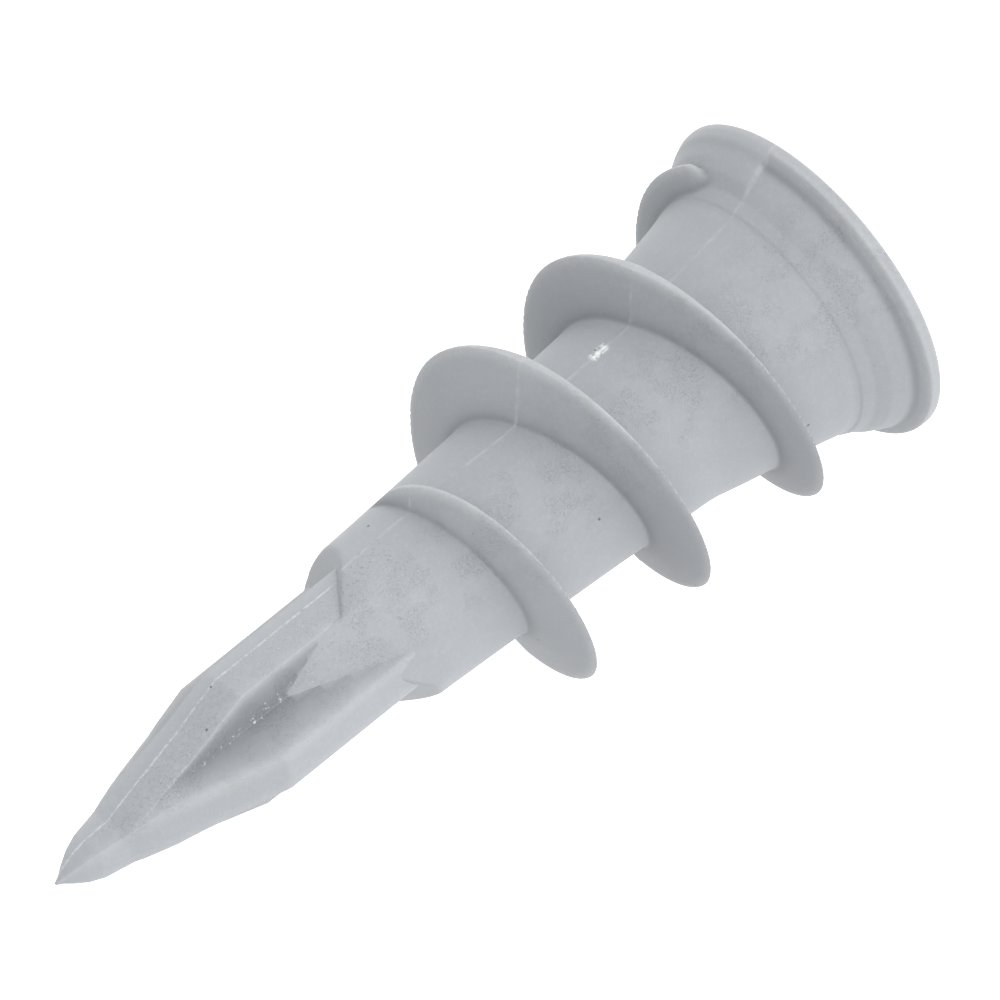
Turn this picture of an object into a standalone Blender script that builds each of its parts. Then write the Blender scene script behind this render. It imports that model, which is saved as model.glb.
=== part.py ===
"""A self-drilling wall anchor: a flanged, threaded nylon sleeve with a two-legged drill point.

The origin is the centre of the flange's outer face and +Z runs along the axis to the tip.
The drill point is split along the mould's parting plane, which is the YZ plane.
Each leg hangs on a springy flexure at the sleeve's domed end, so its origin is on that hinge.
All sizes are in metres.
"""

import math

import bmesh
import bpy
from mathutils import Matrix, Vector

# Flange
TOTAL_LENGTH = 0.0380
FLANGE_RADIUS = 0.00675
RIM_THICKNESS = 0.00050
FLANGE_DEPTH = 0.0024
FACE_EDGE_ROUND = 0.00012
RIM_EDGE_ROUND = 0.00012
UNDERSIDE = [(0.00636, 0.00128), (0.00606, 0.00167), (0.00554, 0.00207)]

# Tube behind the flange: a short flare, then a slow taper to the dome
FLARE_TOP_RADIUS = 0.00522
FLARE_MIDDLE = (0.00498, 0.0036)
FLARE_END = (0.00442, 0.0068)
NECK = (0.00407, 0.0084)
TUBE_END = (0.00333, 0.0214)
DOME_ROUND = 0.00150
DOME_SLOPE = math.radians(16.5)
TUBE_SLOPE = math.radians(3.3)
NOSE_RADIUS = 0.00170

# Driver recess and screw bore
RECESS_SPAN = 0.0062
RECESS_WIDTH = 0.0015
RECESS_DEPTH = 0.0042
RECESS_TAPER = 0.62
RECESS_OVERCUT = (-0.0005, 1.04)
MOUTH_RADIUS = 0.0023
THROAT = (0.0018, 0.0046)
BORE_END = (0.0013, 0.0235)
NOSE_BORE_RADIUS = 0.00030

# Thread: one right-hand start, from the tip end back to the flange
PITCH = 0.00571
THREAD_RADIUS = 0.00632
THREAD_START_Z = 0.01935
THREAD_START_AZIMUTH = math.radians(-46)
THREAD_TURNS = 3.18
RUN_IN_TURNS = 0.50
CREST_HALF_WIDTH = 0.00022
RUN_IN_CREST_SHARE = 0.5
CREST_ROUNDING = 0.4
FLANK_ANGLE = math.radians(19)
ROOT_EMBED = 0.00045
RUN_IN_DEPTH = 0.0001
THREAD_FACE_GAP = 0.00025
THREAD_FACE_STEP = 0.0002

# Drill point: four fins with flutes between them, ground to a blunt point.
# Side fins point along X and seam fins along Y, both turned a little about the axis.
FIN_TURN = math.radians(-6.0)
FIN_REACH = 0.00280
POINT_OFFSET = Vector((-0.00011, -0.00010, 0.0))
SEAM_FIN_HALF_WIDTH = 0.00105
SIDE_FIN_HALF_WIDTH = 0.00083
FLUTE_VALLEY = (0.00105, 0.00136)
DRILL_ROOT_Z = 0.0208
GRIND_START_Z = 0.0290
GROUND_SECTIONS = [
    # height, half-size across the side fins, across the seam fins, greatest radius
    (0.0313, 0.00210, 0.00193, 0.00224),
    (0.0338, 0.00136, 0.00115, 0.00158),
    (0.0351, 0.00090, 0.00072, 0.00116),
    (0.0363, 0.00070, 0.00066, 0.00095),
    (0.0370, 0.00052, 0.00052, 0.00072),
    (0.0375, 0.00031, 0.00031, 0.00042),
    (TOTAL_LENGTH, 0.00015, 0.00015, 0.00020),
]
FLUTE_FADE_SHARE = 0.12

# Split legs
SPLIT_GAP = 0.00008
DOME_GAP = 0.00006
POCKET_DEPTH = 0.0012
ROOT_CLEARANCE = 0.0010
HINGE_X = 0.00306
HINGE_Z = 0.0224

NYLON_GREY = (0.40, 0.43, 0.46)

TURN_STEPS = 56
THREAD_STEPS_PER_TURN = 40
ARC_STEPS = 4


def clear_objects():
    """Remove whatever the file already holds."""
    for old in list(bpy.data.objects):
        bpy.data.objects.remove(old, do_unlink=True)


def nylon(name, colour):
    """Matte moulded nylon."""
    material = bpy.data.materials.new(name)
    material.use_nodes = True
    shader = material.node_tree.nodes["Principled BSDF"]
    shader.inputs["Base Color"].default_value = (*colour, 1.0)
    shader.inputs["Roughness"].default_value = 0.55
    shader.inputs["Metallic"].default_value = 0.0
    return material


def new_object(name, bm, material=None):
    """Turn a bmesh into a smooth-shaded object with outward faces."""
    bmesh.ops.recalc_face_normals(bm, faces=bm.faces)
    mesh = bpy.data.meshes.new(name)
    bm.to_mesh(mesh)
    bm.free()
    mesh.shade_smooth()
    mesh.set_sharp_from_angle(angle=math.radians(35))
    if material:
        mesh.materials.append(material)
    obj = bpy.data.objects.new(name, mesh)
    bpy.context.scene.collection.objects.link(obj)
    return obj


def as_cutter(obj):
    """Keep a construction body out of the model."""
    obj.hide_render = True
    obj.display_type = "WIRE"
    return obj


def boolean(obj, tool, operation):
    """Join or cut one body with another."""
    modifier = obj.modifiers.new(f"{operation.lower()}_{tool.name}", "BOOLEAN")
    modifier.operation = operation
    modifier.solver = "EXACT"
    modifier.object = tool


def arc(centre, radius, start, end, steps=ARC_STEPS):
    """Points (r, z) of an arc, with angles in degrees from +r towards +z."""
    points = []
    for step in range(steps + 1):
        angle = math.radians(start + (end - start) * step / steps)
        points.append((centre[0] + radius * math.cos(angle), centre[1] + radius * math.sin(angle)))
    return points


def turned(name, outline, material=None):
    """Spin a closed outline of (r, z) points round the Z axis."""
    bm = bmesh.new()
    verts = [bm.verts.new((r, 0.0, z)) for r, z in outline]
    edges = [bm.edges.new((verts[i], verts[(i + 1) % len(verts)])) for i in range(len(verts))]
    bmesh.ops.spin(
        bm,
        geom=verts + edges,
        cent=(0, 0, 0),
        axis=(0, 0, 1),
        angle=math.tau,
        steps=TURN_STEPS,
        use_merge=True,
        use_duplicate=False,
    )
    bmesh.ops.remove_doubles(bm, verts=bm.verts, dist=1e-7)
    bmesh.ops.dissolve_degenerate(bm, dist=1e-7, edges=bm.edges)
    loose = [edge for edge in bm.edges if not edge.link_faces]
    bmesh.ops.delete(bm, geom=loose, context="EDGES")
    return new_object(name, bm, material)


def dome_outline(gap=0.0):
    """The rounded shoulder and the cone that close the tube, grown outwards by gap."""
    shoulder_r = TUBE_END[0] - DOME_ROUND
    slope = math.degrees(DOME_SLOPE)
    round_part = arc((shoulder_r, TUBE_END[1]), DOME_ROUND + gap, math.degrees(TUBE_SLOPE), slope, 2)
    last_r, last_z = round_part[-1]
    nose_r = NOSE_RADIUS
    nose_z = last_z + (last_r - nose_r) / math.tan(DOME_SLOPE)
    return round_part + [(nose_r, nose_z)]


def nose_z():
    """Height of the sleeve's small flat nose."""
    return dome_outline()[-1][1]


def tube_radius(z):
    """Radius of the tube's outside at a height."""
    corners = [(FLARE_TOP_RADIUS, FLANGE_DEPTH), FLARE_MIDDLE, FLARE_END, NECK, TUBE_END]
    if z <= corners[0][1]:
        return corners[0][0]
    for (r0, z0), (r1, z1) in zip(corners, corners[1:]):
        if z <= z1:
            return r0 + (r1 - r0) * (z - z0) / (z1 - z0)
    return corners[-1][0]


def sleeve_outline():
    """Outside from the face to the nose, then back through the bore."""
    face_round = arc((FLANGE_RADIUS - FACE_EDGE_ROUND, FACE_EDGE_ROUND), FACE_EDGE_ROUND, -90, 0, 2)
    rim_round = arc((FLANGE_RADIUS - RIM_EDGE_ROUND, RIM_THICKNESS), RIM_EDGE_ROUND, 0, 60, 2)
    tube = [(FLARE_TOP_RADIUS, FLANGE_DEPTH), FLARE_MIDDLE, FLARE_END, NECK]
    bore = [(NOSE_BORE_RADIUS, nose_z()), BORE_END, THROAT, (MOUTH_RADIUS, 0.0)]
    return face_round + rim_round + UNDERSIDE + tube + dome_outline() + bore


def thread_ring(turns):
    """Five-sided section of the flight, at a number of turns from its start."""
    azimuth = THREAD_START_AZIMUTH - math.tau * turns
    centre_z = THREAD_START_Z - PITCH * turns
    ramp = math.sin(0.5 * math.pi * min(turns / RUN_IN_TURNS, 1.0))
    wall = tube_radius(centre_z)
    crest = wall - RUN_IN_DEPTH + (THREAD_RADIUS - wall + RUN_IN_DEPTH) * ramp
    inner = wall - ROOT_EMBED
    crest_half = CREST_HALF_WIDTH * (RUN_IN_CREST_SHARE + (1 - RUN_IN_CREST_SHARE) * ramp)
    root_half = crest_half + (crest - inner) * math.tan(FLANK_ANGLE)
    section = [
        (inner, -root_half),
        (crest - CREST_ROUNDING * crest_half, -crest_half),
        (crest, 0.0),
        (crest - CREST_ROUNDING * crest_half, crest_half),
        (inner, root_half),
    ]
    outward = Vector((math.cos(azimuth), math.sin(azimuth), 0.0))
    lowest = [THREAD_FACE_GAP + THREAD_FACE_STEP * i for i in range(len(section))]
    return [outward * r + Vector((0, 0, max(centre_z + dz, low))) for (r, dz), low in zip(section, lowest)]


def thread_flight():
    """The helical flight as one swept, capped body."""
    bm = bmesh.new()
    steps = round(THREAD_TURNS * THREAD_STEPS_PER_TURN)
    rings = []
    for step in range(steps + 1):
        points = thread_ring(THREAD_TURNS * step / steps)
        rings.append([bm.verts.new(point) for point in points])
    for ring, following in zip(rings, rings[1:]):
        for i in range(len(ring)):
            j = (i + 1) % len(ring)
            bm.faces.new((ring[i], ring[j], following[j], following[i]))
    bm.faces.new(rings[0])
    bm.faces.new(rings[-1])
    return as_cutter(new_object("thread_flight", bm))


def recess_slot(name, azimuth):
    """One tapered slot of the cross recess."""
    bm = bmesh.new()
    rings = []
    for z, scale in (RECESS_OVERCUT, (RECESS_DEPTH, RECESS_TAPER)):
        half_span = 0.5 * RECESS_SPAN * scale
        half_width = 0.5 * RECESS_WIDTH * scale
        corners = [(half_span, half_width), (-half_span, half_width),
                   (-half_span, -half_width), (half_span, -half_width)]
        rings.append([bm.verts.new((x, y, z)) for x, y in corners])
    for i in range(4):
        j = (i + 1) % 4
        bm.faces.new((rings[0][i], rings[0][j], rings[1][j], rings[1][i]))
    bm.faces.new(rings[0])
    bm.faces.new(rings[1])
    bmesh.ops.rotate(bm, verts=bm.verts, cent=(0, 0, 0), matrix=Matrix.Rotation(azimuth, 3, "Z"))
    return as_cutter(new_object(name, bm))


def make_sleeve(material):
    """Flange, tube, dome, thread, bore and driver recess: one moulding."""
    sleeve = turned("anchor_sleeve", sleeve_outline(), material)
    boolean(sleeve, thread_flight(), "UNION")
    boolean(sleeve, recess_slot("recess_slot_x", 0.0), "DIFFERENCE")
    boolean(sleeve, recess_slot("recess_slot_y", math.pi / 2), "DIFFERENCE")
    return sleeve


def land_half_width(quarter, reach, radius):
    """Half-width of a fin's land, where the ground cone may cut its corners."""
    full = SIDE_FIN_HALF_WIDTH if quarter % 2 == 0 else SEAM_FIN_HALF_WIDTH
    return min(full, math.sqrt(radius ** 2 - reach ** 2))


def fin_section(z, side_reach, seam_reach, radius):
    """Twelve corners at a height: two on each fin's land and one in each flute, which fades out."""
    corners = []
    for quarter in range(4):
        on_side = quarter % 2 == 0
        reach, next_reach = (side_reach, seam_reach) if on_side else (seam_reach, side_reach)
        half_width = land_half_width(quarter, reach, radius)
        next_half_width = land_half_width(quarter + 1, next_reach, radius)
        along = Vector((math.cos(FIN_TURN), math.sin(FIN_TURN), 0.0))
        along.rotate(Matrix.Rotation(0.5 * math.pi * quarter, 3, "Z"))
        across = Vector((-along.y, along.x, 0.0))
        valley = FLUTE_VALLEY if on_side else FLUTE_VALLEY[::-1]
        share = min(1.0, reach / valley[0], next_reach / valley[1], radius / math.hypot(*valley))
        faded = min(1.0, (1.0 - share) / FLUTE_FADE_SHARE)
        flute = (along * valley[0] + across * valley[1]) * share
        bridge = 0.5 * (along * (reach + next_half_width) + across * (half_width + next_reach))
        corners.append(along * reach - across * half_width)
        corners.append(along * reach + across * half_width)
        corners.append(flute.lerp(bridge, faded))
    return [corner + POINT_OFFSET + Vector((0, 0, z)) for corner in corners]


def drill_point():
    """Loft the whole drill point from inside the dome to the blunt tip."""
    full_radius = math.hypot(FIN_REACH, SEAM_FIN_HALF_WIDTH)
    rings = [fin_section(z, FIN_REACH, FIN_REACH, full_radius) for z in (DRILL_ROOT_Z, GRIND_START_Z)]
    rings += [fin_section(*section) for section in GROUND_SECTIONS]
    bm = bmesh.new()
    rings = [[bm.verts.new(point) for point in ring] for ring in rings]
    for ring, following in zip(rings, rings[1:]):
        for i in range(len(ring)):
            j = (i + 1) % len(ring)
            bm.faces.new((ring[i], ring[j], following[j], following[i]))
    bm.faces.new(rings[0])
    bm.faces.new(rings[-1])
    bmesh.ops.recalc_face_normals(bm, faces=bm.faces)
    return bm


def dome_cutter():
    """The dome grown by its gap, with the pocket where a screw's point enters the split."""
    dome = dome_outline(DOME_GAP)
    top_z = dome[-1][1]
    start_z = DRILL_ROOT_Z - ROOT_CLEARANCE
    outline = [(0.0, start_z), (dome[0][0], start_z)] + dome
    outline += [(NOSE_BORE_RADIUS, top_z), (0.0, top_z + POCKET_DEPTH)]
    return as_cutter(turned("dome_cutter", outline))


def make_leg(name, side, cutter, material):
    """The half of the drill point on one side of the split, hung on its hinge."""
    bm = drill_point()
    bmesh.ops.triangulate(bm, faces=bm.faces)
    geometry = list(bm.verts) + list(bm.edges) + list(bm.faces)
    plane = Vector((0.5 * SPLIT_GAP * side, 0, 0))
    cut = bmesh.ops.bisect_plane(bm, geom=geometry, plane_co=plane, plane_no=(side, 0, 0), clear_inner=True)
    rim = [item for item in cut["geom_cut"] if isinstance(item, bmesh.types.BMEdge)]
    bmesh.ops.edgenet_fill(bm, edges=rim)
    hinge = Vector((HINGE_X * side, 0, HINGE_Z))
    bmesh.ops.translate(bm, verts=bm.verts, vec=-hinge)
    leg = new_object(name, bm, material)
    leg.location = hinge
    boolean(leg, cutter, "DIFFERENCE")
    return leg


def main():
    clear_objects()
    make_sleeve(nylon("sleeve_nylon", NYLON_GREY))
    cutter = dome_cutter()
    make_leg("drill_leg_left", -1, cutter, nylon("left_leg_nylon", NYLON_GREY))
    make_leg("drill_leg_right", 1, cutter, nylon("right_leg_nylon", NYLON_GREY))


main()
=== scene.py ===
"""Looks of the self-drilling wall anchor: moulded grey nylon, seen from the tip side.

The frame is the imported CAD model: the flange's outer face lies on z = 0 and +Z runs to the tip.
Geometry below is worked out in millimetres and handed to Blender in metres.
"""

import math

import bmesh
import bpy
import numpy as np
from mathutils import Matrix, Vector


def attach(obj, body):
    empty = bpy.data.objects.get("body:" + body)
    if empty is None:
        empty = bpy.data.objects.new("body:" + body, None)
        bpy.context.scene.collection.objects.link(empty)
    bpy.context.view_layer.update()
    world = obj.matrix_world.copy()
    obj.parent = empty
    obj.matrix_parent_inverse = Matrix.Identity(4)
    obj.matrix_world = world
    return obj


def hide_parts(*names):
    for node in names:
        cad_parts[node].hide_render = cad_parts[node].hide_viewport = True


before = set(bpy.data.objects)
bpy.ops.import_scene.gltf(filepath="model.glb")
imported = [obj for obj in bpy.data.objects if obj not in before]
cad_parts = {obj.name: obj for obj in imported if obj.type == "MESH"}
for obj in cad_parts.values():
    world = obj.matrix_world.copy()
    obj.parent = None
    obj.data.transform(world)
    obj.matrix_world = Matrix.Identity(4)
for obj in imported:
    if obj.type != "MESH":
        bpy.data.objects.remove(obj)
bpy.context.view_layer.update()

MM = 0.001

# Camera and stage
CAMERA_AZIMUTH = math.radians(-136)
CAMERA_ELEVATION = math.radians(22.95)
CAMERA_ROLL = math.radians(128.83)
CAMERA_DISTANCE = 1.2
VIEW_WIDTH = 36.28 * MM
ORIGIN_IN_VIEW = (0.3111, 0.2245)
SENSOR_WIDTH = 36.0
SURROUNDINGS_STRENGTH = 0.74
SOFTBOX_DISTANCE = 0.35
KEY_SIZE = 0.30
KEY_POWER = 0.36
POINT_LIGHT_SIZE = 0.25
POINT_LIGHT_POWER = 0.24
FLOOR_SIZE = 3.0
FLOOR_DROP = 0.0002
FLOOR_GREY = 0.8
FLOOR_GLOW = 0.85

# Sleeve, all in millimetres
NOSE_Z = 27.1
FLANGE_RADIUS = 6.75
NECK_TOP = (2.85, 5.18)
SOFT_RIM = [(0.10, 6.75), (0.30, 6.74), (0.60, 6.62), (1.28, 6.24), (1.67, 5.98), (2.07, 5.52), NECK_TOP]
HARD_RIM = [(0.10, 6.75), (0.40, 6.74), (0.48, 6.69), (0.55, 6.42), (0.72, 6.24), (1.15, 6.05),
            (1.60, 5.83), (2.10, 5.50), NECK_TOP]
RIM_CHANGE_WIDTH = 0.012
RIM_EDGE = (0.45, 0.10)
RIM_GROOVE = (0.78, 0.16)
TUBE = [(3.64, 4.98), (6.8, 4.42), (7.6, 4.25), (8.4, 4.07), (13.9, 3.73), (19.4, 3.45), (21.4, 3.36)]
TUBE_BLUR = 0.35
NOSE_BORE = 0.30
MOUTH = 2.3
BORE = [(0.0, MOUTH), (4.6, 1.8), (21.0, 1.15), (NOSE_Z, NOSE_BORE)]
FACE_RINGS = [(0.0, 4.0), (0.0, 5.8)]
FACE_EDGE_ROUND = 0.10
COLUMNS = 192
ROW_STEP = 0.055
DOME_ROW_STEP = 0.085
THREAD_TOP_Z = 20.6

# Dome: flat facets between and under the fins, as (azimuth, distance from the axis, slope along the axis)
DOME_BASE_Z = 22.4
DOME_FACETS = [(-156.5, 2.95, 0.262), (23.5, 2.95, 0.262), (-51.0, 2.72, 0.85), (129.0, 2.72, 0.85),
               (174.0, 3.10, 0.22), (-6.0, 3.06, 0.22), (-96.0, 3.30, 0.20), (84.0, 3.24, 0.20)]
DOME_CORE_RADIUS = 1.30
DOME_BLEND = 0.12
LEAST_FACING = 0.05
FAR_AWAY = 50.0

# Thread
PITCH = 5.71
THREAD_RADIUS = 6.30
THREAD_START_Z = 19.44
THREAD_START_AZIMUTH = -46.0
THREAD_TURNS = 3.09
RUN_IN_TURNS = 0.50
RUN_OUT_TURNS = 0.035
CREST_HALF_WIDTH = 0.10
CREST_ROUND = 0.09
FLANK_ANGLE = 16.5
DRAFT_ANGLE = 2.2
DRAFT_AT_SEAM = 0.05
ROOT_FILLET = 0.30
# How far the painted shade at the flights' roots reaches
HOLLOW_SHADE_REACH = 0.26

# Mould seam
SEAM_AZIMUTH = [(0.0, -94.5), (14.5, -94.5), (18.0, -91.0), (NOSE_Z, -90.0)]
SEAM_BLUR = 0.8
FLASH_HEIGHT = 0.030
FLASH_WIDTH = 0.055

# Drill point: side fins along X and seam fins along Y, both turned a little about the axis.
# Each ground section is (height, half-size across the side fins, across the seam fins, greatest radius).
FIN_TURN = -6.0
FIN_REACH = 2.80
POINT_OFFSET = (-0.11, -0.10)
SEAM_FIN_HALF_WIDTH = 0.98
SIDE_FIN_HALF_WIDTH = 0.83
FLUTE_VALLEY = (1.03, 1.30)
FLUTE_FADE_SHARE = 0.12
POINT_ROOT_Z = 21.9
GRIND_START_Z = 29.0
TIP_Z = 38.0
GROUND = [(31.3, 2.10, 1.93, 2.24), (33.8, 1.36, 1.15, 1.58), (35.1, 0.90, 0.72, 1.16),
          (36.3, 0.70, 0.66, 0.95), (36.9, 0.52, 0.52, 0.72), (37.4, 0.31, 0.31, 0.42),
          (37.75, 0.13, 0.13, 0.17), (TIP_Z, 0.04, 0.04, 0.05)]
SECTION_STEP = 0.12
FINE_START_Z = 37.0
FINE_SECTION_STEP = 0.07
FLUTE_SHADE_END = (31.5, 34.5)
SIDE_CORNER_ROUND = 0.16
SEAM_CORNER_ROUND = 0.05
VALLEY_ROUND = 0.05
SPLIT_HALF_GAP = 0.004
TUCK = 0.03
DOME_TOOL_TURN = 1.5

# Driver recess
RECESS_HALF_SPAN = 3.1
RECESS_HALF_WIDTH = 0.75
RECESS_DEPTH = 4.2
RECESS_TAPER = 0.62
RECESS_SCALES = [(-0.5, 1.0), (0.35, 1.0), (RECESS_DEPTH - 0.3, RECESS_TAPER),
                 (RECESS_DEPTH, RECESS_TAPER * 0.85)]


# ---------------------------------------------------------------- camera and stage

def make_camera():
    """Long lens, looking down on the drill side, rolled so that the point is at the lower left."""
    azimuth, elevation = CAMERA_AZIMUTH, CAMERA_ELEVATION
    back = Vector((math.cos(elevation) * math.cos(azimuth), math.cos(elevation) * math.sin(azimuth),
                   math.sin(elevation)))
    level_right = Vector((-math.sin(azimuth), math.cos(azimuth), 0))
    level_up = back.cross(level_right)
    right = math.cos(CAMERA_ROLL) * level_right - math.sin(CAMERA_ROLL) * level_up
    up = math.sin(CAMERA_ROLL) * level_right + math.cos(CAMERA_ROLL) * level_up
    target = -VIEW_WIDTH * (ORIGIN_IN_VIEW[0] * right + ORIGIN_IN_VIEW[1] * up)
    data = bpy.data.cameras.new("camera")
    data.sensor_width = SENSOR_WIDTH
    data.lens = SENSOR_WIDTH * CAMERA_DISTANCE / VIEW_WIDTH
    data.clip_end = 10
    camera = bpy.data.objects.new("camera", data)
    axes = Matrix((right, up, back)).transposed().to_4x4()
    camera.matrix_world = Matrix.Translation(target + back * CAMERA_DISTANCE) @ axes
    bpy.context.scene.collection.objects.link(camera)
    bpy.context.scene.camera = camera
    return right, up, back


def make_softbox(name, direction, size, power):
    """A square softbox that looks at the middle of the anchor from a direction."""
    data = bpy.data.lights.new(name, "AREA")
    data.shape = "SQUARE"
    data.size = size
    data.energy = power
    light = bpy.data.objects.new(name, data)
    centre = Vector((0, 0, 0.5 * TIP_Z * MM))
    light.location = centre + direction.normalized() * SOFTBOX_DISTANCE
    light.rotation_euler = direction.to_track_quat("Z", "Y").to_euler()
    bpy.context.scene.collection.objects.link(light)


def make_stage(right, up, back):
    """White surroundings, a lit pale floor and two softboxes."""
    scene = bpy.context.scene
    scene.view_settings.view_transform = "Standard"
    world = bpy.data.worlds.new("studio")
    world.use_nodes = True
    background = world.node_tree.nodes["Background"]
    background.inputs["Color"].default_value = (1, 1, 1, 1)
    background.inputs["Strength"].default_value = SURROUNDINGS_STRENGTH
    scene.world = world
    make_softbox("key_softbox", back + right * 0.31 - up * 0.39, KEY_SIZE, KEY_POWER)
    make_softbox("point_softbox", Vector((0, 0, 1)), POINT_LIGHT_SIZE, POINT_LIGHT_POWER)
    half = 0.5 * FLOOR_SIZE
    mesh = bpy.data.meshes.new("floor")
    corners = [(-half, -half, 0), (half, -half, 0), (half, half, 0), (-half, half, 0)]
    mesh.from_pydata(corners, [], [(0, 1, 2, 3)])
    floor = bpy.data.objects.new("floor", mesh)
    floor.location.z = -FLOOR_DROP
    scene.collection.objects.link(floor)
    material = bpy.data.materials.new("lit_white_table")
    material.use_nodes = True
    shader = material.node_tree.nodes["Principled BSDF"]
    shader.inputs["Base Color"].default_value = (FLOOR_GREY, FLOOR_GREY, FLOOR_GREY, 1)
    shader.inputs["Roughness"].default_value = 0.9
    shader.inputs["Emission Color"].default_value = (1, 1, 1, 1)
    shader.inputs["Emission Strength"].default_value = FLOOR_GLOW
    mesh.materials.append(material)


# ---------------------------------------------------------------- meshes

def smooth_step(x, low, high):
    """Ease from 0 to 1 between two values."""
    t = np.clip((x - low) / (high - low), 0, 1)
    return t * t * (3 - 2 * t)


def blend_max(a, b, width):
    """Greater of two surfaces with a fillet between them."""
    return np.maximum(a, b) + np.clip(width - np.abs(a - b), 0, None) ** 2 / (4 * width)


def blend_min(a, b, width):
    """Lesser of two surfaces with a rounded edge between them."""
    return -blend_max(-a, -b, width)


def along(points, z, blur=0.0):
    """Read a profile of (z, r) points, with its corners blurred."""
    heights, radii = zip(*points)
    shifts = np.linspace(-blur, blur, 9) if blur else [0.0]
    return sum(np.interp(z + shift, heights, radii) for shift in shifts) / len(shifts)


def add_attribute(mesh, name, values):
    """Store one number per vertex for the material."""
    attribute = mesh.attributes.new(name, "FLOAT", "POINT")
    attribute.data.foreach_set("value", np.asarray(values, dtype=np.float32))


def add_piece(name, mesh, material, angle=40.0):
    """Put a finished mesh in the scene with its material."""
    mesh.shade_smooth()
    mesh.set_sharp_from_angle(angle=math.radians(angle))
    mesh.materials.clear()
    mesh.materials.append(material)
    piece = bpy.data.objects.new(name, mesh)
    bpy.context.scene.collection.objects.link(piece)
    return piece


def ring_mesh(name, rings, closed=False):
    """Quads between successive rings of points, with caps unless the rings close on themselves."""
    count = len(rings[0])
    points = np.concatenate(rings) * MM
    faces = []
    last = len(rings) if closed else len(rings) - 1
    for i in range(last):
        a, b = i * count, ((i + 1) % len(rings)) * count
        for j in range(count):
            k = (j + 1) % count
            faces.append((a + j, a + k, b + k, b + j))
    if not closed:
        faces.append(tuple(range(count - 1, -1, -1)))
        faces.append(tuple(range(len(points) - count, len(points))))
    mesh = bpy.data.meshes.new(name)
    mesh.from_pydata(points.tolist(), [], faces)
    mesh.update()
    return mesh


def cut(mesh, tools):
    """Subtract closed tool meshes from a mesh and return the result."""
    body = bpy.data.objects.new(mesh.name + "_body", mesh)
    bpy.context.scene.collection.objects.link(body)
    helpers = []
    for tool in tools:
        helper = bpy.data.objects.new(tool.name + "_tool", tool)
        bpy.context.scene.collection.objects.link(helper)
        helpers.append(helper)
        modifier = body.modifiers.new(tool.name, "BOOLEAN")
        modifier.operation = "DIFFERENCE"
        modifier.solver = "MANIFOLD"
        modifier.object = helper
    graph = bpy.context.evaluated_depsgraph_get()
    result = bpy.data.meshes.new_from_object(body.evaluated_get(graph))
    for helper in helpers + [body]:
        bpy.data.objects.remove(helper, do_unlink=True)
    return result


# ---------------------------------------------------------------- sleeve

def thread_surface(azimuth, z, seam_offset):
    """Radius of the flight's surface and how near the crest it is, at azimuths in degrees."""
    surface = np.full(azimuth.shape, -1.0)
    crest_share = np.zeros(azimuth.shape)
    first = (THREAD_START_AZIMUTH - azimuth) / 360.0
    first = first - np.floor(first)
    wall = along(TUBE, z)
    for turn in range(math.ceil(THREAD_TURNS)):
        turns = first + turn
        inside = turns <= THREAD_TURNS
        run_in = np.sin(0.5 * math.pi * np.clip(turns / RUN_IN_TURNS, 0, 1))
        run_out = smooth_step(THREAD_TURNS - turns, 0.0, RUN_OUT_TURNS)
        crest = wall - 0.3 + (THREAD_RADIUS - wall + 0.3) * run_in * (0.35 + 0.65 * run_out)
        from_split = np.abs(np.sin(np.radians(seam_offset))) * THREAD_RADIUS
        thin = DRAFT_AT_SEAM - from_split * math.tan(math.radians(DRAFT_ANGLE)) * 0.8
        distance = np.abs(z - (THREAD_START_Z - PITCH * turns)) - thin * run_in
        distance = np.clip(distance - CREST_HALF_WIDTH * (0.4 + 0.6 * run_in), 0, None)
        rounded = np.sqrt(distance ** 2 + CREST_ROUND ** 2) - CREST_ROUND
        drop = rounded / math.tan(math.radians(FLANK_ANGLE))
        radius = np.where(inside, crest - drop, -1.0)
        crest_share = np.where(radius > surface, 1 - smooth_step(drop, 0.05, 0.45), crest_share)
        surface = np.maximum(surface, radius)
    return surface, crest_share


def dome_radius(azimuth, z):
    """Radius of the flat-sided dome that closes the tube."""
    radius = np.full(azimuth.shape, FAR_AWAY)
    for facet_azimuth, distance, slope in DOME_FACETS:
        facing = np.cos(np.radians(azimuth - facet_azimuth))
        distance = np.maximum(distance - slope * (z - DOME_BASE_Z), DOME_CORE_RADIUS)
        facet = distance / np.clip(facing, LEAST_FACING, None)
        radius = np.minimum(radius, np.where(facing > LEAST_FACING, facet, FAR_AWAY))
    return radius


def seam_azimuth(z):
    """The mould seam drifts a little along the tube."""
    return along(SEAM_AZIMUTH, z, SEAM_BLUR)


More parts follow.
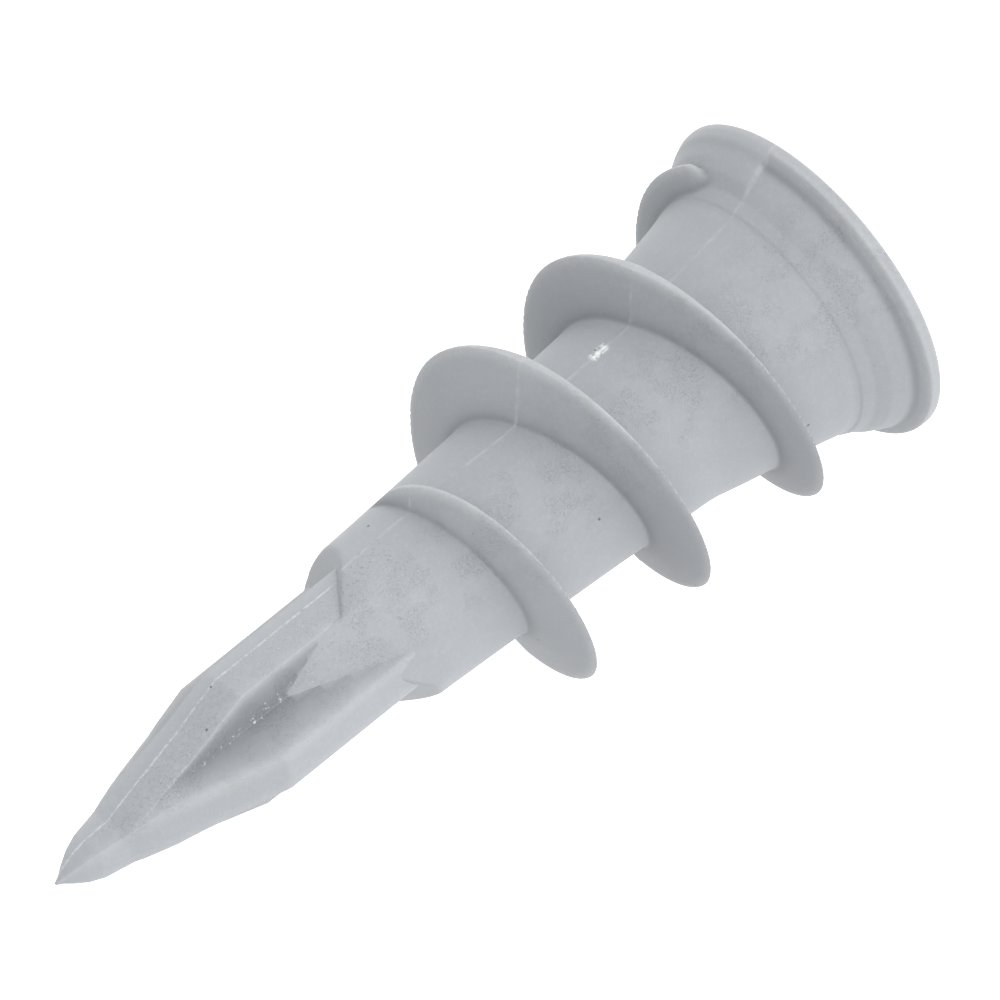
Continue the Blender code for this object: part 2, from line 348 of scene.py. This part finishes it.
def outer_radius(azimuth, z):
    """Radius of the outside, and the shares of edge (a painted highlight), seam and hollow shade (painted
    shade) at each point.
    """
    seam_offset = azimuth - seam_azimuth(z)
    hard_side = 0.5 - 0.5 * np.tanh(np.sin(np.radians(seam_offset)) / RIM_CHANGE_WIDTH)
    rim = along(SOFT_RIM + TUBE, z) * (1 - hard_side) + along(HARD_RIM + TUBE, z) * hard_side
    plain = np.where(z > 2.6, along([NECK_TOP] + TUBE, z, TUBE_BLUR), rim)
    base = plain + (rim - plain) * (1 - smooth_step(z, 2.2, 3.4))
    base = blend_min(base, dome_radius(azimuth, z), DOME_BLEND)
    thread, crest = thread_surface(azimuth, z, seam_offset)
    radius = blend_max(base, thread, ROOT_FILLET)
    arc = np.abs(np.sin(np.radians(seam_offset))) * radius
    waver = 0.55 + 0.45 * np.sin(2.3 * z) * np.sin(5.1 * z + 1.0)
    flash = np.exp(-(arc / FLASH_WIDTH) ** 2)
    # Crests and the flange rim get a painted highlight through the edge share
    crest = np.where(thread > base, crest, 0.0)
    rim_corner = np.exp(-((z - RIM_EDGE[0]) / RIM_EDGE[1]) ** 2)
    rim_edge = rim_corner * hard_side + (1 - smooth_step(z, 0.1, 0.9)) * 0.6
    radius = radius + FLASH_HEIGHT * flash * waver * smooth_step(z, 0.5, 1.2)
    # Painted shade where the flights meet the tube and in the rim groove
    hollow_shade = np.exp(-(np.abs(thread - base) / HOLLOW_SHADE_REACH) ** 1.5) * 0.8
    groove = np.exp(-((z - RIM_GROOVE[0]) / RIM_GROOVE[1]) ** 2)
    hollow_shade = np.maximum(hollow_shade, groove * (0.25 + 0.6 * hard_side))
    return radius, np.maximum(crest, rim_edge), flash, hollow_shade


def column_offsets():
    """Azimuths from the seam, closer together near the two seams."""
    even = np.arange(COLUMNS) * 360.0 / COLUMNS
    near = np.array([0.28, 0.55, 0.85])
    extra = np.concatenate([near, -near, 180 + near, 180 - near])
    return np.sort(np.concatenate([even, extra % 360.0]))


def ring_at(azimuth, radius, z):
    """Points on a ring from polar values."""
    angle = np.radians(azimuth)
    height = np.broadcast_to(z, angle.shape)
    return np.stack([radius * np.cos(angle), radius * np.sin(angle), height], axis=-1)


def sleeve_mesh():
    """Outside, nose, bore and face as one closed surface, then the recess is cut."""
    offsets = column_offsets()
    rings, traits = [], []

    def plain_ring(z, radius, edge):
        azimuth = offsets + seam_azimuth(z)
        rings.append(ring_at(azimuth, np.full(offsets.shape, radius), z))
        traits.append(np.outer((edge, 0.0, 0.0), np.ones(offsets.shape)))

    # The flange's rounded edge gets a painted highlight
    for step in range(3):
        angle = math.radians(30 * step)
        plain_ring(FACE_EDGE_ROUND * (1 - math.cos(angle)),
                   FLANGE_RADIUS - FACE_EDGE_ROUND * (1 - math.sin(angle)), 0.6)
    rows = np.concatenate([np.arange(FACE_EDGE_ROUND, THREAD_TOP_Z, ROW_STEP),
                           np.arange(THREAD_TOP_Z, NOSE_Z, DOME_ROW_STEP), [NOSE_Z]])
    for z in rows:
        azimuth = offsets + seam_azimuth(z)
        radius, *ring_traits = outer_radius(azimuth, z)
        rings.append(ring_at(azimuth, radius, z))
        traits.append(np.stack(ring_traits))
    for z, radius in [(NOSE_Z, NOSE_BORE + 0.5)] + BORE[::-1] + FACE_RINGS:
        plain_ring(z, radius, 0.0)
    mesh = ring_mesh("anchor_sleeve_shell", rings, closed=True)
    # The edge and hollow shade attributes carry a painted highlight and painted shade to the material
    for name, values in zip(("edge", "seam", "hollow_shade"), np.concatenate(traits, axis=1)):
        add_attribute(mesh, name, values)
    return cut(mesh, [recess_slot(0.0), recess_slot(90.0)])


def recess_slot(azimuth):
    """One tapered, round-ended slot of the cross recess."""
    rings = []
    turn = np.radians(azimuth)
    for z, scale in RECESS_SCALES:
        half_span = RECESS_HALF_SPAN * scale
        half_width = RECESS_HALF_WIDTH * scale
        points = []
        for centre, start in ((half_span - half_width, -90), (half_width - half_span, 90)):
            for step in range(9):
                angle = math.radians(start + 180 * step / 8)
                points.append((centre + half_width * math.cos(angle), half_width * math.sin(angle)))
        points = np.array(points)
        x = points[:, 0] * math.cos(turn) - points[:, 1] * math.sin(turn)
        y = points[:, 0] * math.sin(turn) + points[:, 1] * math.cos(turn)
        rings.append(np.stack([x, y, np.full(len(points), z)], axis=-1))
    return ring_mesh(f"recess_slot_{azimuth:.0f}", rings)


# ---------------------------------------------------------------- drill legs

def ground_sizes(z):
    """Half-size across the side fins, across the seam fins and greatest radius at a height."""
    full = math.hypot(FIN_REACH, SEAM_FIN_HALF_WIDTH)
    table = [(height, FIN_REACH, FIN_REACH, full) for height in (POINT_ROOT_Z, GRIND_START_Z)] + GROUND
    heights = [row[0] for row in table]
    return [float(np.interp(z, heights, [row[i] for row in table])) for i in (1, 2, 3)]


def land_half_width(quarter, reach, radius):
    """Half-width of a fin's land, where the ground cone may cut its corners."""
    full = SIDE_FIN_HALF_WIDTH if quarter % 2 == 0 else SEAM_FIN_HALF_WIDTH
    return min(full, math.sqrt(radius ** 2 - reach ** 2))


def section_corners(z):
    """The twelve corners of the finned section: position, rounding, share of edge (a painted highlight).
    """
    side, seam, radius = ground_sizes(z)
    corners = []
    for quarter in range(4):
        on_side = quarter % 2 == 0
        reach, next_reach = (side, seam) if on_side else (seam, side)
        half_width = land_half_width(quarter, reach, radius)
        next_half_width = land_half_width(quarter + 1, next_reach, radius)
        angle = math.radians(FIN_TURN + 90 * quarter)
        out = np.array([math.cos(angle), math.sin(angle)])
        across = np.array([-out[1], out[0]])
        valley = FLUTE_VALLEY if on_side else FLUTE_VALLEY[::-1]
        share = min(1.0, reach / valley[0], next_reach / valley[1], radius / math.hypot(*valley))
        faded = min(1.0, (1.0 - share) / FLUTE_FADE_SHARE)
        flute = (out * valley[0] + across * valley[1]) * share
        bridge = 0.5 * (out * (reach + next_half_width) + across * (half_width + next_reach))
        corner_round = SIDE_CORNER_ROUND if on_side else SEAM_CORNER_ROUND
        corners.append((out * reach - across * half_width, corner_round, 1.0))
        corners.append((out * reach + across * half_width, corner_round, 1.0))
        corners.append((flute * (1 - faded) + bridge * faded, VALLEY_ROUND, 0.0))
    return corners


def flank_shade(corner, share):
    """Painted shade on the flank after a corner: how enclosed a point is, at a share of the way to the
    next corner.
    """
    quarter, place = divmod(corner, 3)
    if place == 0:
        return 0.0
    from_valley = 1 - share if place == 1 else share
    on_side = (quarter + place - 1) % 2 == 0
    return 1 - from_valley if on_side else 1 - from_valley ** 3


def rounded_section(z):
    """Section outline with rounded corners, and the shares of edge (a painted highlight) and hollow shade
    (painted shade) at each point.
    """
    corners = section_corners(z)
    points, edges, hollow_shades = [], [], []
    # The painted shade in the flutes fades out towards the tip
    flute_shade_strength = 1 - smooth_step(z, *FLUTE_SHADE_END)
    for i, (corner, size, is_edge) in enumerate(corners):
        before = corners[i - 1][0] - corner
        after = corners[(i + 1) % len(corners)][0] - corner
        reach = min(size, 0.45 * np.linalg.norm(before), 0.45 * np.linalg.norm(after))
        start = corner + before / np.linalg.norm(before) * reach
        end = corner + after / np.linalg.norm(after) * reach
        for step in range(5):
            t = step / 4
            points.append((1 - t) ** 2 * start + 2 * t * (1 - t) * corner + t ** 2 * end)
            edges.append(is_edge)
            hollow_shades.append((1 - is_edge) * flute_shade_strength)
        following = corners[(i + 1) % len(corners)]
        next_size = min(following[1], 0.45 * np.linalg.norm(after))
        next_start = following[0] - after / np.linalg.norm(after) * next_size
        for step in range(1, 4):
            points.append(end + (next_start - end) * step / 4)
            edges.append(0.0)
            hollow_shades.append(flank_shade(i, step / 4) * flute_shade_strength)
    return np.array(points) + POINT_OFFSET, np.array(edges), np.array(hollow_shades)


def point_mesh():
    """The whole drill point as one closed loft, from inside the dome to the tip."""
    heights = np.concatenate([np.arange(POINT_ROOT_Z, FINE_START_Z, SECTION_STEP),
                              np.arange(FINE_START_Z, TIP_Z, FINE_SECTION_STEP), [TIP_Z]])
    rings, edge, hollow_shade = [], [], []
    for z in heights:
        points, ring_edge, ring_hollow_shade = rounded_section(z)
        rings.append(np.column_stack([points, np.full(len(points), z)]))
        edge.append(ring_edge)
        hollow_shade.append(ring_hollow_shade)
    mesh = ring_mesh("drill_point", rings)
    # The legs' edges get a weaker painted highlight
    add_attribute(mesh, "edge", np.concatenate(edge) * 0.5)
    add_attribute(mesh, "seam", np.zeros(len(mesh.vertices)))
    add_attribute(mesh, "hollow_shade", np.concatenate(hollow_shade))
    return mesh


def dome_tool():
    """The dome, a hair smaller than the sleeve's, to shape the legs' inner faces."""
    azimuth = np.arange(0, 360, DOME_TOOL_TURN)
    rings = []
    for z in np.append(np.arange(POINT_ROOT_Z - 1.5, NOSE_Z, DOME_ROW_STEP), NOSE_Z):
        base = along(TUBE, np.full(azimuth.shape, z), TUBE_BLUR)
        radius = blend_min(base, dome_radius(azimuth, z), DOME_BLEND) - TUCK
        rings.append(ring_at(azimuth, radius, z))
    return ring_mesh("dome_shape", rings)


def leg_mesh(side, tool):
    """Half of the drill point, on one side of the split, fitted to the dome."""
    bm = bmesh.new()
    bm.from_mesh(point_mesh())
    geometry = list(bm.verts) + list(bm.edges) + list(bm.faces)
    plane = Vector((SPLIT_HALF_GAP * MM * side, 0, 0))
    half = bmesh.ops.bisect_plane(bm, geom=geometry, plane_co=plane, plane_no=(side, 0, 0),
                                  clear_inner=True, dist=1e-8)
    rim = [item for item in half["geom_cut"] if isinstance(item, bmesh.types.BMEdge)]
    bmesh.ops.edgenet_fill(bm, edges=rim)
    bmesh.ops.recalc_face_normals(bm, faces=bm.faces)
    mesh = bpy.data.meshes.new("leg_half")
    bm.to_mesh(mesh)
    bm.free()
    return cut(mesh, [tool])


# ---------------------------------------------------------------- material

class Nodes:
    """Short ways to add and join shader nodes; values may be numbers or sockets."""

    def __init__(self, name):
        self.material = bpy.data.materials.new(name)
        self.material.use_nodes = True
        self.tree = self.material.node_tree
        self.shader = self.tree.nodes["Principled BSDF"]

    def put(self, socket, value):
        if isinstance(value, bpy.types.NodeSocket):
            self.tree.links.new(value, socket)
        else:
            socket.default_value = value

    def math(self, operation, a, b=0.0):
        node = self.tree.nodes.new("ShaderNodeMath")
        node.operation = operation
        self.put(node.inputs[0], a)
        self.put(node.inputs[1], b)
        return node.outputs[0]

    def total(self, *values):
        result = values[0]
        for value in values[1:]:
            result = self.math("ADD", result, value)
        return result

    def product(self, *values):
        result = values[0]
        for value in values[1:]:
            result = self.math("MULTIPLY", result, value)
        return result

    def step(self, value, low, high):
        node = self.tree.nodes.new("ShaderNodeMapRange")
        node.interpolation_type = "SMOOTHSTEP"
        self.put(node.inputs["Value"], value)
        node.inputs["From Min"].default_value = low
        node.inputs["From Max"].default_value = high
        return node.outputs["Result"]

    def band(self, value, low, high, soft):
        """1 between low and high, with soft ends."""
        return self.product(self.step(value, low - soft, low + soft),
                            self.math("SUBTRACT", 1.0, self.step(value, high - soft, high + soft)))

    def attribute(self, name):
        node = self.tree.nodes.new("ShaderNodeAttribute")
        node.attribute_name = name
        return node.outputs["Fac"]

    def position(self):
        """Object position in millimetres, as a vector and its parts."""
        place = self.tree.nodes.new("ShaderNodeTexCoord").outputs["Object"]
        scale = self.tree.nodes.new("ShaderNodeVectorMath")
        scale.operation = "SCALE"
        self.put(scale.inputs[0], place)
        scale.inputs["Scale"].default_value = 1 / MM
        parts = self.tree.nodes.new("ShaderNodeSeparateXYZ")
        self.put(parts.inputs[0], scale.outputs[0])
        return scale.outputs[0], parts.outputs

    def vector(self, x, y, z):
        node = self.tree.nodes.new("ShaderNodeCombineXYZ")
        for socket, value in zip(node.inputs, (x, y, z)):
            self.put(socket, value)
        return node.outputs[0]

    def noise(self, vector, scale, detail=2.0, rough=0.5):
        node = self.tree.nodes.new("ShaderNodeTexNoise")
        self.put(node.inputs["Vector"], vector)
        node.inputs["Scale"].default_value = scale
        node.inputs["Detail"].default_value = detail
        node.inputs["Roughness"].default_value = rough
        return node.outputs["Fac"]

    def specks(self, vector, scale, radius, share):
        """Sparse round dots: cells of a Voronoi pattern, of which only a share hold a dot."""
        node = self.tree.nodes.new("ShaderNodeTexVoronoi")
        self.put(node.inputs["Vector"], vector)
        node.inputs["Scale"].default_value = scale
        parts = self.tree.nodes.new("ShaderNodeSeparateColor")
        self.put(parts.inputs[0], node.outputs["Color"])
        dot = self.math("SUBTRACT", 1.0, self.step(node.outputs["Distance"], 0.5 * radius, radius))
        return self.product(dot, self.step(parts.outputs[0], 1 - share, 1 - 0.7 * share))

    def mix(self, factor, a, b):
        node = self.tree.nodes.new("ShaderNodeMix")
        node.data_type = "RGBA"
        self.put(node.inputs["Factor"], factor)
        self.put(node.inputs["A"], a)
        self.put(node.inputs["B"], b)
        return node.outputs["Result"]

    def bump(self, height, distance, normal=None):
        node = self.tree.nodes.new("ShaderNodeBump")
        node.inputs["Strength"].default_value = 1.0
        node.inputs["Distance"].default_value = distance
        self.put(node.inputs["Height"], height)
        if normal:
            self.put(node.inputs["Normal"], normal)
        return node.outputs["Normal"]


GREY = (0.355, 0.370, 0.392, 1)
PALE = (0.49, 0.50, 0.512, 1)
DEEP = (0.305, 0.320, 0.342, 1)
SHADE = (0.19, 0.20, 0.215, 1)
WHITE = (0.80, 0.81, 0.81, 1)
DIRT = (0.10, 0.11, 0.11, 1)
BUMP_DEPTH = 0.012 * MM
# Direction of the side that faces the camera, where a speckled highlight is painted
HIGHLIGHT_SIDE = (-0.74, -0.67)


def nylon(name, scuffs):
    """Matte moulded nylon: fine grain, flash, scuffs and a few specks of dirt, with painted highlights on
    the edges and the camera side and painted shade in the hollows.
    """
    n = Nodes(name)
    place, (x, y, z) = n.position()
    clouds = n.noise(place, 0.55, 3.0)
    mottle = n.noise(place, 5.0, 3.0, 0.6)
    grain = n.noise(place, 24.0, 2.0, 0.7)
    colour = n.mix(n.step(clouds, 0.35, 0.65), DEEP, GREY)
    colour = n.mix(n.product(n.step(clouds, 0.30, 0.70), 0.5), GREY, colour)
    colour = n.mix(n.product(n.step(mottle, 0.45, 0.75), 0.18), colour, PALE)
    # Painted highlight: pale speckles on the side that faces the camera
    facing = n.math("DIVIDE", n.total(n.product(x, HIGHLIGHT_SIDE[0]), n.product(y, HIGHLIGHT_SIDE[1])),
                    n.math("SQRT", n.total(n.product(x, x), n.product(y, y))))
    highlight_sparkle = n.product(n.step(n.noise(place, 17.0, 3.0, 0.8), 0.52, 0.66), n.step(facing, 0.72, 0.98),
                        n.step(n.noise(place, 0.9, 2.0), 0.40, 0.60))
    colour = n.mix(n.product(n.step(grain, 0.50, 0.80), 0.30), colour, PALE)
    colour = n.mix(n.product(highlight_sparkle, 0.55), colour, PALE)
    # Painted highlight along crests, corners and the flange rim
    colour = n.mix(n.product(n.attribute("edge"), n.total(0.25, n.product(mottle, 0.5))), colour, PALE)
    # Painted shade in the hollows, flutes and rim groove
    colour = n.mix(n.product(n.attribute("hollow_shade"), 0.75), colour, SHADE)
    seam_line = n.product(n.attribute("seam"), n.step(n.noise(place, 2.2, 3.0), 0.35, 0.62))
    colour = n.mix(n.product(seam_line, 0.55), colour, PALE)
    marks, relief = scuffs(n, place, x, y, z)
    colour = n.mix(marks, colour, WHITE)
    dirt = n.specks(place, 1.1, 0.085, 0.16)
    colour = n.mix(n.product(dirt, 0.85), colour, DIRT)
    n.put(n.shader.inputs["Base Color"], colour)
    rough = n.total(0.44, n.product(mottle, 0.16), n.product(marks, -0.10))
    n.put(n.shader.inputs["Roughness"], rough)
    n.shader.inputs["IOR"].default_value = 1.50
    n.shader.inputs["Specular IOR Level"].default_value = 0.42
    height = n.total(n.product(grain, 0.6), n.product(mottle, 0.9), n.product(highlight_sparkle, 0.8), relief)
    n.put(n.shader.inputs["Normal"], n.bump(height, BUMP_DEPTH))
    return n.material


def sleeve_scuffs(n, place, x, y, z):
    """A stress mark on the seam, scratches on the dome and a rough patch where the fin's land begins."""
    stress = n.product(n.attribute("seam"), n.band(z, 9.35, 10.05, 0.12),
                       n.math("SUBTRACT", 1.0, n.step(x, -0.5, 0.5)))
    stress_side = n.product(n.band(z, 9.3, 10.1, 0.10), n.band(x, -0.50, -0.10, 0.10),
                            n.math("SUBTRACT", 1.0, n.step(y, -3.0, -2.0)),
                            n.step(n.noise(place, 6.0, 3.0), 0.42, 0.60))
    streak_place = n.vector(n.product(x, 5.0), n.product(y, 5.0), n.product(z, 0.9))
    streaks = n.step(n.noise(streak_place, 1.6, 4.0, 0.75), 0.60, 0.72)
    on_dome = n.product(n.band(z, 21.2, 26.8, 0.8), n.band(x, -3.2, -0.5, 0.5),
                        n.math("SUBTRACT", 1.0, n.step(y, -1.6, 0.2)))
    dots = n.step(n.noise(place, 9.0, 3.0, 0.7), 0.60, 0.70)
    rough_land = n.product(n.band(z, 20.6, 24.5, 0.5), n.band(x, -1.3, 0.0, 0.2),
                           n.math("SUBTRACT", 1.0, n.step(y, -2.4, -1.8)))
    marks = n.total(n.product(stress, 0.9), n.product(stress_side, 0.8), n.product(streaks, on_dome, 0.42),
                    n.product(dots, rough_land, 0.35))
    relief = n.total(n.product(streaks, on_dome, 1.5), n.product(dots, rough_land, 2.0))
    return n.math("MINIMUM", marks, 1.0), relief


def leg_scuffs(n, place, x, y, z):
    """A rough ground land beside the seam, flash along the seam and specks of flash in the flutes."""
    same_side = n.step(n.product(x, y), 0.0, 0.02)
    land = n.product(same_side, n.step(n.math("ABSOLUTE", y), 0.5, 0.9),
                     n.step(n.math("ABSOLUTE", x), 0.01, 0.03),
                     n.math("SUBTRACT", 1.0, n.step(n.math("ABSOLUTE", x), 1.25, 1.35)))
    dots = n.step(n.noise(place, 11.0, 4.0, 0.8), 0.54, 0.68)
    fade = n.math("SUBTRACT", 1.0, n.step(z, 26.0, 31.0))
    flash = n.product(n.math("SUBTRACT", 1.0, n.step(n.math("ABSOLUTE", x), 0.02, 0.06)),
                      n.step(n.noise(place, 5.0, 4.0, 0.7), 0.30, 0.62))
    # Flash specks sit where the painted shade is deepest, in the valley roundings
    burrs = n.product(n.step(n.attribute("hollow_shade"), 0.93, 1.0),
                      n.step(n.noise(place, 4.5, 3.0, 0.7), 0.60, 0.66))
    marks = n.total(n.product(dots, land, n.total(0.14, n.product(fade, 0.50))), n.product(flash, 0.45),
                    n.product(burrs, 0.7))
    relief = n.product(dots, land, 0.9)
    return n.math("MINIMUM", marks, 1.0), relief


# ---------------------------------------------------------------- build

def main():
    right, up, back = make_camera()
    make_stage(right, up, back)
    sleeve = add_piece("sleeve_moulding", sleeve_mesh(), nylon("sleeve_nylon_surface", sleeve_scuffs))
    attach(sleeve, "sleeve")
    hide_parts("anchor_sleeve")
    tool = dome_tool()
    leg_surface = nylon("leg_nylon_surface", leg_scuffs)
    for side, word in ((-1, "left"), (1, "right")):
        leg = add_piece(f"leg_moulding_{word}", leg_mesh(side, tool.copy()), leg_surface, 50.0)
        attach(leg, f"{word}_leg")
        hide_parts(f"drill_leg_{word}")


main()
